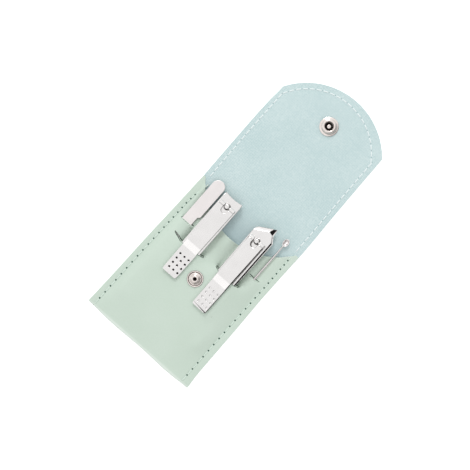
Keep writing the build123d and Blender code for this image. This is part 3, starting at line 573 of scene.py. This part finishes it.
mint_thread = polyester("mint polyester thread", "#D9E9DE")
pale_thread = polyester("pale aqua polyester thread", "#EDF7F7")
dark_hole = pierced("needle hole in mint leatherette", "#47675A", "#2F4A3F")
faint_hole = pierced("needle hole in the aqua lining", "#B4CBCC", "#A8C0C2")

# one stitch, a millimetre long: a ring of six points drawn out through the stitch's rise and fall
bpy.ops.object.select_all(action="DESELECT")
start, upright = Vector((-0.5, 0, -0.3)) * MM, (0, math.pi / 2, 0)
bpy.ops.mesh.primitive_circle_add(vertices=6, radius=0.2 * MM, location=start, rotation=upright)
stitch = bpy.context.object
stitch.name = "stitch"
bpy.ops.object.transform_apply(location=True, rotation=True, scale=True)
bpy.ops.object.mode_set(mode="EDIT")
bpy.ops.mesh.select_all(action="SELECT")
bpy.ops.mesh.edge_face_add()
RISE = ((0.05, 0.26, 1.6), (0.17, 0.16, 1.15), (0.28, 0.04, 1))         # (on, up, growth in width)
FALL = ((0.28, -0.04, 1), (0.17, -0.16, 0.87), (0.05, -0.26, 0.62))
for on, up, wide in RISE + FALL:
    bpy.ops.mesh.extrude_region_move(TRANSFORM_OT_translate={"value": (on * MM, 0, up * MM)})
    bpy.ops.transform.resize(value=(1, wide, 1 + (wide - 1) * 0.6))
bpy.ops.mesh.select_all(action="SELECT")
bpy.ops.mesh.normals_make_consistent(inside=False)
bpy.ops.object.mode_set(mode="OBJECT")
# one needle hole: a small funnel
bpy.ops.object.select_all(action="DESELECT")
start = (0, 0, 0.03 * MM)
bpy.ops.mesh.primitive_circle_add(vertices=12, radius=0.5 * MM, fill_type="NGON", location=start)
hole = bpy.context.object
hole.name = "needle_hole"
bpy.ops.object.transform_apply(location=True, rotation=True, scale=True)
bpy.ops.object.mode_set(mode="EDIT")
bpy.ops.mesh.select_all(action="SELECT")
bpy.ops.mesh.inset(thickness=0.18 * MM, depth=-0.02 * MM)
bpy.ops.object.mode_set(mode="OBJECT")

BITE = 0.75                     # a stitch's pitch less its visible length
SUNK = 0.1                      # height of the bobbin's thread, which lies a little sunk in the outer face


def seam(name, places, top, thread, punched, hole_size):
    """Stitches between needle holes at places (x, y, direction in degrees, pitch), on a face at height top.

    The bobbin's thread, on the outer face, is always mint."""
    made = []

    def lay(pattern, skin, matrix):
        piece = pattern.copy()
        piece.data = pattern.data.copy()
        piece.data.materials.clear()
        piece.data.materials.append(skin)
        piece.data.transform(matrix)
        bpy.context.collection.objects.link(piece)
        made.append(piece)

    for x, y, direction, pitch in places:
        turned = Matrix.Rotation(math.radians(direction), 4, "Z")
        here = Matrix.Translation(Vector((x, y, top)) * MM) @ turned
        length = Matrix.Diagonal((pitch - BITE, 1, 1, 1))
        lay(stitch, thread, here @ length)
        end = here @ Matrix.Translation(Vector((pitch / 2, 0, 0)) * MM)
        lay(hole, punched, end @ Matrix.Diagonal((hole_size * 1.25, hole_size, 1, 1)))
        below = Matrix.Translation(Vector((x, y, SUNK)) * MM) @ turned @ Matrix.Diagonal((1, 1, -1, 1))
        lay(stitch, mint_thread, below @ length)
    bpy.ops.object.select_all(action="DESELECT")
    for piece in made:
        piece.select_set(True)
    bpy.context.view_layer.objects.active = made[0]
    bpy.ops.object.join()
    row = bpy.context.object
    row.name = row.data.name = name
    bpy.ops.object.mode_set(mode="EDIT")
    bpy.ops.mesh.select_all(action="SELECT")
    bpy.ops.mesh.normals_make_consistent(inside=False)
    bpy.ops.object.mode_set(mode="OBJECT")
    finish_mesh(row, angle=60)
    return row


def along(points, first, last, pitch):
    """Places along a seam line given as (all y, all x), at a pitch that is a number or a rule of y."""
    places, y = [], first
    way = 1 if last > first else -1
    while way * (last - y) > 1.5:
        step = pitch(y) if callable(pitch) else pitch
        x, next_y = np.interp(y, *points), y + way * step
        next_x = np.interp(next_y, *points)
        direction = math.degrees(math.atan2(next_y - y, next_x - x))
        places.append(((x + next_x) / 2, (y + next_y) / 2, direction, step))
        y = next_y
    return places


def easing_pitch(y):
    """The stitches are shorter near the mouth."""
    return np.interp(y, (-60, -44, -32, -5), (4.9, 4.7, 4.1, 3.4))


GROOVE_BOTTOM = 2.32
for name, side in (("left", -1), ("right", 1)):
    places = along(SEAM_LINES[side], -2.2, -101.5, easing_pitch)
    row = seam(f"{name}_stitching", places, GROOVE_BOTTOM, mint_thread, dark_hole, hole_size=1.0)
    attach(row, "case")
    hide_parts(f"{name}_seam")

PITCH = 4.2                     # of the stitches round spine and flap
LEFT_LINE = ((0, 12, 40, 66), (-34.3, -34.7, -34.9, -34.7))
RIGHT_LINE = ((0, 12, 40, 70), (34.8, 34.8, 34.2, 33.9))
spine_places = along(LEFT_LINE, 1.4, 10.5, PITCH) + along(RIGHT_LINE, 1.4, 10.5, PITCH)
flap_places = along(LEFT_LINE, 9.8, 67.0, PITCH) + along(RIGHT_LINE, 9.8, 70.5, PITCH)
ARC_X, ARC_Y, ARC_RADIUS = 0.4, 50.8, 39.2
first, last = math.acos((33.9 - ARC_X) / ARC_RADIUS), math.acos((-34.7 - ARC_X) / ARC_RADIUS)
stitches = round((last - first) * ARC_RADIUS / PITCH)
for i in range(stitches):
    angle = first + (last - first) * (i + 0.5) / stitches
    place = (ARC_X + ARC_RADIUS * math.cos(angle), ARC_Y + ARC_RADIUS * math.sin(angle))
    flap_places.append((*place, math.degrees(angle) + 90, PITCH))
spine_row = seam("spine_stitching", spine_places, LINING_TOP, pale_thread, faint_hole, hole_size=0.7)
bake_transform(spine_row)
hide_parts("spine_seam")
flap_row = seam("flap_stitching", flap_places, LINING_TOP, pale_thread, faint_hole, hole_size=0.7)
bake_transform(flap_row)
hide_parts("flap_seam")
for pattern in (stitch, hole):
    bpy.data.objects.remove(pattern)

# ---- snap ----------------------------------------------------------------------------------------------
# Pressed and nickel-plated brass: a stud riveted through the pocket front, and a socket with a ring spring
# whose cap is clenched through the flap.


def plated(name, colour, dark, rough):
    """Nickel plate over pressed brass: warm grey, with a faint uneven wear."""
    made, tree = material(name)
    spot = put(tree, "ShaderNodeTexCoord").outputs["Object"]
    wear = put(tree, "ShaderNodeTexNoise", (), {"Vector": spot, "Scale": 900, "Detail": 4}).outputs["Fac"]
    tone = put(tree, "ShaderNodeMix", TWO_COLOURS, {"Factor": wear, 6: linear(colour), 7: linear(dark)})
    sockets = {"Value": wear, "To Min": rough - 0.05, "To Max": rough + 0.08}
    dull = put(tree, "ShaderNodeMapRange", (), sockets)
    look = {"Base Color": tone.outputs[2], "Metallic": 1.0, "Roughness": dull.outputs[0]}
    metal = put(tree, "ShaderNodeBsdfPrincipled", (), look)
    put(tree, "ShaderNodeOutputMaterial", (), {"Surface": metal.outputs[0]})
    return made


nickel = plated("nickel plated brass", "#F0E8E4", "#DDD2CC", 0.2)
# painted shade: near-black brass for the snap's holes, grooves and outer rims, which lie in shade
snap_shade = plated("tarnished brass in the snap's hollows", "#2E2724", "#191513", 0.5)


def turned(name, centre, profile, body, node, dark):
    """A pressed round piece: a circle drawn from ring to ring through (radius, height) pairs.

    Faces whose (distance from the axis, height) meet dark() are painted near-black for shade."""
    bpy.ops.object.select_all(action="DESELECT")
    radius, height = profile[0]
    start = Vector((*centre, height)) * MM
    bpy.ops.mesh.primitive_circle_add(vertices=56, radius=radius * MM, location=start)
    piece = bpy.context.object
    piece.name = piece.data.name = name
    bpy.ops.object.transform_apply(location=True, rotation=True, scale=True)
    bpy.ops.object.mode_set(mode="EDIT")
    bpy.ops.mesh.select_all(action="SELECT")
    bpy.ops.mesh.edge_face_add()
    bpy.ops.mesh.select_all(action="SELECT")
    for next_radius, next_height in profile[1:]:
        rise = (0, 0, (next_height - height) * MM)
        bpy.ops.mesh.extrude_region_move(TRANSFORM_OT_translate={"value": rise})
        grow = next_radius / radius
        bpy.ops.transform.resize(value=(grow, grow, 1), center_override=Vector((*centre, next_height)) * MM)
        radius, height = next_radius, next_height
    bpy.ops.mesh.select_all(action="SELECT")
    bpy.ops.mesh.normals_make_consistent(inside=False)
    bpy.ops.object.mode_set(mode="OBJECT")
    finish_mesh(piece, angle=45)
    piece.data.materials.append(nickel)
    piece.data.materials.append(snap_shade)
    for face in piece.data.polygons:
        away = math.hypot(face.center.x / MM - centre[0], face.center.y / MM - centre[1])
        face.material_index = int(dark(away, face.center.z / MM))
    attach(piece, body)
    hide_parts(node)


# each profile runs from its lower rim outward, over the crown and in to the middle
STUD_PROFILE = (
    [(1.5, SNAP_SEAT), (4.6, SNAP_SEAT), (4.9, 7.18), (5.0, 7.42), (4.88, 7.64), (4.55, 7.7), (4.2, 7.55)]
    + [(3.95, 7.32), (3.6, 7.25), (3.3, 7.4), (3.0, 7.75), (2.6, 8.0), (2.25, 8.15), (2.0, 8.4), (1.95, 9.05)]
    + [(2.1, 9.25), (2.34, 9.45), (2.38, 9.7), (2.25, 9.95), (1.95, 10.15), (1.5, 10.2), (1.2, 10.1)]
    + [(1.05, 9.8), (1.0, 9.0), (0.95, 8.3), (0.1, 8.2)]
)
EYELET_PROFILE = (
    [(0.9, 5.6), (4.0, 5.6), (4.2, 5.75), (4.2, 6.0), (4.0, 6.1), (1.5, 6.1), (1.45, 8.1)]
    + [(0.9, 8.2)]
)
SOCKET_PROFILE = (
    [(1.5, LINING_TOP), (5.6, LINING_TOP), (5.85, 1.62), (5.88, 1.85), (5.6, 2.0), (5.1, 2.0), (4.75, 2.1)]
    + [(4.55, 2.4), (4.6, 3.2), (4.45, 3.8), (4.1, 4.15), (3.6, 4.3), (3.1, 4.28), (2.8, 4.1), (2.65, 3.8)]
    + [(2.6, 3.3), (2.8, 2.6), (2.7, 2.1), (1.7, 2.0), (1.5, 2.3), (1.2, 2.55), (0.8, 2.6), (0.1, 2.6)]
)
CAP_PROFILE = (
    [(2.5, 0.02), (5.2, 0.08), (5.9, 0.2), (6.15, 0.4), (6.1, 0.58), (5.6, 0.6), (1.45, 0.6), (1.4, 1.9)]
    + [(0.1, 2.0)]
)


# which faces are painted near-black for shade: the holes, the stud's neck groove, and the outer rims
def stud_shade_mask(away, height):
    return away < 1.1 or away > 4.93 or (1.9 < away < 2.1 and height < 9.2)


def eyelet_hollow(away, height):
    return away < 0.9


def socket_shade_mask(away, height):
    return 1.1 < away < 2.75 or away > 5.8


def cap_hollow(away, height):
    return 0.55 < height and away < 1.5


turned("stud", STUD, STUD_PROFILE, "case", "snap_stud", stud_shade_mask)
turned("eyelet", STUD, EYELET_PROFILE, "case", "stud_eyelet", eyelet_hollow)
turned("socket", SOCKET, SOCKET_PROFILE, "flap", "snap_socket", socket_shade_mask)
turned("cap", SOCKET, CAP_PROFILE, "flap", "snap_cap", cap_hollow)

# the ring spring in the socket's groove, open over a short arc
bpy.ops.object.select_all(action="DESELECT")
wire = {"major_segments": 48, "minor_segments": 10, "major_radius": 2.8 * MM, "minor_radius": 0.3 * MM}
bpy.ops.mesh.primitive_torus_add(location=Vector((*SOCKET, 2.5)) * MM, **wire)
spring = bpy.context.object
spring.name = spring.data.name = "ring_spring"
bpy.ops.object.mode_set(mode="EDIT")
bpy.ops.mesh.select_mode(type="FACE")
bpy.ops.mesh.select_all(action="DESELECT")
bpy.ops.object.mode_set(mode="OBJECT")
for face in spring.data.polygons:
    face.select = -math.radians(30) < math.atan2(face.center.y, face.center.x) < 0
bpy.ops.object.mode_set(mode="EDIT")
bpy.ops.mesh.delete(type="FACE")
bpy.ops.mesh.select_mode(type="EDGE")
bpy.ops.mesh.select_non_manifold()
bpy.ops.mesh.fill_holes(sides=0)
bpy.ops.object.mode_set(mode="OBJECT")
finish_mesh(spring)
spring.data.materials.append(nickel)
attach(spring, "flap")
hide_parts("socket_spring")

# ---- clippers ------------------------------------------------------------------------------------------
# Stamped stainless steel: arms and levers are polished and chromed, and their edges tumbled round. Some of
# the edges, the jaws' insides and the dimples are rough, and painted near-black for shade and dark reflections.


def steel(name, colour, dark, rough, scratch, depth, stretch):
    """Steel with fine lines along the tool from its polishing or grinding, and a faint smear."""
    made, tree = material(name)
    spot = put(tree, "ShaderNodeTexCoord").outputs["Object"]
    drawn = put(tree, "ShaderNodeMapping", (), {"Vector": spot, "Scale": stretch})
    sockets = {"Vector": drawn.outputs[0], "Scale": 1 / (scratch * MM), "Detail": 5}
    lines = put(tree, "ShaderNodeTexNoise", (), sockets).outputs["Fac"]
    smear = put(tree, "ShaderNodeTexNoise", (), {"Vector": spot, "Scale": 140, "Detail": 2})
    tones = {"Factor": smear.outputs["Fac"], 6: linear(colour), 7: linear(dark)}
    tone = put(tree, "ShaderNodeMix", TWO_COLOURS, tones)
    sockets = {"Value": lines, "To Min": rough - 0.05, "To Max": rough + 0.07}
    dull = put(tree, "ShaderNodeMapRange", (), sockets)
    relief = put(tree, "ShaderNodeBump", (), {"Height": lines, "Strength": 0.3, "Distance": depth * MM})
    look = {"Base Color": tone.outputs[2], "Metallic": 1.0, "Roughness": dull.outputs[0]}
    metal = put(tree, "ShaderNodeBsdfPrincipled", (), look | {"Normal": relief.outputs[0]})
    put(tree, "ShaderNodeOutputMaterial", (), {"Surface": metal.outputs[0]})
    return made


polished = steel("polished chromed steel", "#EFEDEC", "#E4E2E1", 0.14, 0.25, 0.003, (1, 0.12, 1))
# painted shade: a near-black steel, rougher than the rest, for edges and hollows in shade or mirroring a dark
# surround
sheared_and_shaded = steel("rough steel painted near-black for shade", "#302E2F", "#201E1F", 0.45, 0.2, 0.02, (1, 1, 0.2))
satin = steel("satin stainless steel", "#F0EBEA", "#E4DFDE", 0.4, 0.18, 0.012, (1, 0.6, 1))


def rounded(node, name, width, body, finish, slot, angle=30, dark=None, share=None, reshape=None):
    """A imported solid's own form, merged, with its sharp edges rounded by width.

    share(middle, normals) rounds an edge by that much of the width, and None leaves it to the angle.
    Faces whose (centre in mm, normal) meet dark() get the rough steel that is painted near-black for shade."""
    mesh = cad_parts[node].data.copy()
    mesh.name = name
    piece = bpy.data.objects.new(name, mesh)
    bpy.context.collection.objects.link(piece)
    pick(piece)
    bpy.ops.object.mode_set(mode="EDIT")
    bpy.ops.mesh.select_all(action="SELECT")
    bpy.ops.mesh.remove_doubles(threshold=0.001 * MM)
    bpy.ops.mesh.dissolve_limited(angle_limit=math.radians(0.5))
    bpy.ops.object.mode_set(mode="OBJECT")
    if reshape:
        reshape(piece)

    def chosen(middle, a, b):
        part = share(middle, a, b) if share else None
        return a.angle(b) > math.radians(angle) if part is None else part

    soften(piece, width, 3, chosen)
    piece.data.materials.clear()
    piece.data.materials.append(finish)
    piece.data.materials.append(sheared_and_shaded)
    for face in piece.data.polygons:
        face.material_index = int(bool(dark and dark(face.center / MM, face.normal)))
    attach(piece, body)
    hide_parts(node)
    return piece


# where the painted shade on the arms starts and stops: the oblique clipper's rim, beak and shoulder, and the
# file's notch
RIM_X, BEAK_X, SHOULDER_Y, FILE_NOTCH_Y = 20.95, 17.8, -4.6, -20.5
TAIL_Y = -50                    # the oblique clipper is widened in front of this


def part_faces(*cuts):
    """Cuts the piece in hand along planes, given as (a point in mm, across), so that one side can be painted
    dark for shade.
    """
    bpy.ops.object.mode_set(mode="EDIT")
    for place, across in cuts:
        bpy.ops.mesh.select_all(action="SELECT")
        bpy.ops.mesh.bisect(plane_co=Vector(place) * MM, plane_no=across)
    bpy.ops.object.mode_set(mode="OBJECT")


def spread_right(piece, beyond, by):
    """Stretches the oblique clipper's arm to the right along its own slope, in front of its tail."""
    part_faces(((0, TAIL_Y, 0), (0, 1, 0)))
    bpy.ops.object.mode_set(mode="EDIT")
    bpy.ops.mesh.select_mode(type="VERT")
    bpy.ops.mesh.select_all(action="DESELECT")
    bpy.ops.object.mode_set(mode="OBJECT")
    for point in piece.data.vertices:
        point.select = point.co.x > beyond * MM and point.co.y > (TAIL_Y + 1) * MM
    bpy.ops.object.mode_set(mode="EDIT")
    bpy.ops.transform.translate(value=(by * MM * math.cos(ROLL), 0, by * MM * math.sin(ROLL)))
    bpy.ops.object.mode_set(mode="OBJECT")


def widen_lower(piece):
    """Its lower arm stands out from under the upper one, and is cut where its painted shade ends, leaving a
    bright rim.
    """
    spread_right(piece, 20.3, 0.7)
    across = (1, 0, 0)
    part_faces(((RIM_X, 0, 0), across), ((BEAK_X, 0, 0), across), ((0, SHOULDER_Y, 0), (0, 1, 0)))


def widen_upper(piece):
    """Its upper arm is a hair wider than the lever needs."""
    spread_right(piece, 19.6, 0.2)


def part_flank(piece):
    """The finger clipper's arms are cut at the file's notch, so that the flank by the file's blade can be
    painted dark for shade.
    """
    part_faces(((0, FILE_NOTCH_Y, 0), (0, 1, 0)))


RESHAPE = {
    "oblique_lower_arm": widen_lower,
    "oblique_upper_arm": widen_upper,
    "finger_lower_arm": part_flank,
    "finger_upper_arm": part_flank,
}
GRIP_MIDDLE = 44.5              # the dimples' middle behind the pin
RAMP_BENDS = (29.9, 34.4)       # the lever's ramp, from and to, behind the pin

for tool, (pin_x, pin_y), tilt, grip, lever_x in (
    ("finger", FINGER_PIN, 0, 8.51, -14.1),
    ("oblique", OBLIQUE_PIN, ROLL, 9.52, 12.85),
):
    # grip is the height of the lever's dimpled end, and lever_x the lever's middle
    oblique = tool == "oblique"
    local_up = Vector((-math.sin(tilt), 0, math.cos(tilt)))

    def edge_side(centre, normal):
        # painted shade: the flank by the file is painted near-black, and so is the oblique clipper's right
        # flank
        if oblique:
            return normal.x > 0.75 and centre.y < SHOULDER_Y
        return normal.x < -0.7 and centre.y > FILE_NOTCH_Y

    def jaw_side(centre, normal):
        # painted shade: the lower arm's upper face is painted near-black between the jaws, and so is its flank
        flat = normal.dot(local_up) > 0.97
        if oblique:
            return flat and (centre.x < BEAK_X if centre.y > SHOULDER_Y else centre.x < RIM_X)
        return edge_side(centre, normal) or (flat and centre.y > pin_y + 2 and abs(centre.x - pin_x) < 5.6)

    def lever_side(centre, normal):
        # painted shade: the oblique lever's right edge is painted near-black too, and so are the finger lever's
        # dimples
        if oblique:
            return normal.x > 0.12 and normal.z > -0.9 and centre.y < pin_y - 1.5
        return centre.y < pin_y - 36 and normal.z > 0.9 and grip - 0.6 < centre.z < grip - 0.2

    def lever_share(middle, a, b):
        # a dimple's rim is only just broken, and the ramp's bends are rounded off
        if abs(middle.y - pin_y + GRIP_MIDDLE) < 6.2 and abs(middle.x - lever_x - 0.6) < 4.3:
            return 0.2 * (a.angle(b) > 0.5)
        upper = a.z > 0.8 and b.z > 0.8 and a.angle(b) > 0.03
        if upper and any(abs(middle.y - pin_y + bend) < 0.3 for bend in RAMP_BENDS):
            return 0.7
        if a.angle(b) < math.radians(30):
            return 0
        return 0.75 if oblique else 0.5

    def arm_share(middle, a, b):
        # the oblique clipper's upper arm is crisper along its right edge
        return 0.3 if oblique and middle.x > pin_x + 5 and a.angle(b) > 1 else None

    for part, width, body, dark, share in (
        ("lower_arm", 0.12 if oblique else 0.35, "clipper", jaw_side, None),
        ("rivet", 0.05, "clipper", None, None),
        ("upper_arm", 0.4, "upper", edge_side, arm_share),
        ("pin", 0.08, "post", None, None),
        ("lever", 0.6, "handle", lever_side, lever_share),
    ):
        node, name = f"{tool}_{part}", f"{tool}_clipper_{part}"
        rules = {"dark": dark, "share": share, "reshape": RESHAPE.get(node)}
        rounded(node, name, width, f"{tool}_{body}", polished, "polished_steel", **rules)

# ---- nail file and ear pick ----------------------------------------------------------------------------
# The file is a stamped stainless blade ground to a satin face, with its edges painted near-black for shade.
# The ear pick is drawn wire with a pressed spoon.


def file_edge(centre, normal):
    return abs(normal.z) < 0.35


rounded("nail_file", "file_blade", 0.12, "file", satin, "satin_steel", angle=35, dark=file_edge)
rounded("ear_pick", "ear_pick_wire", 0.06, "pick", satin, "satin_steel", angle=50)
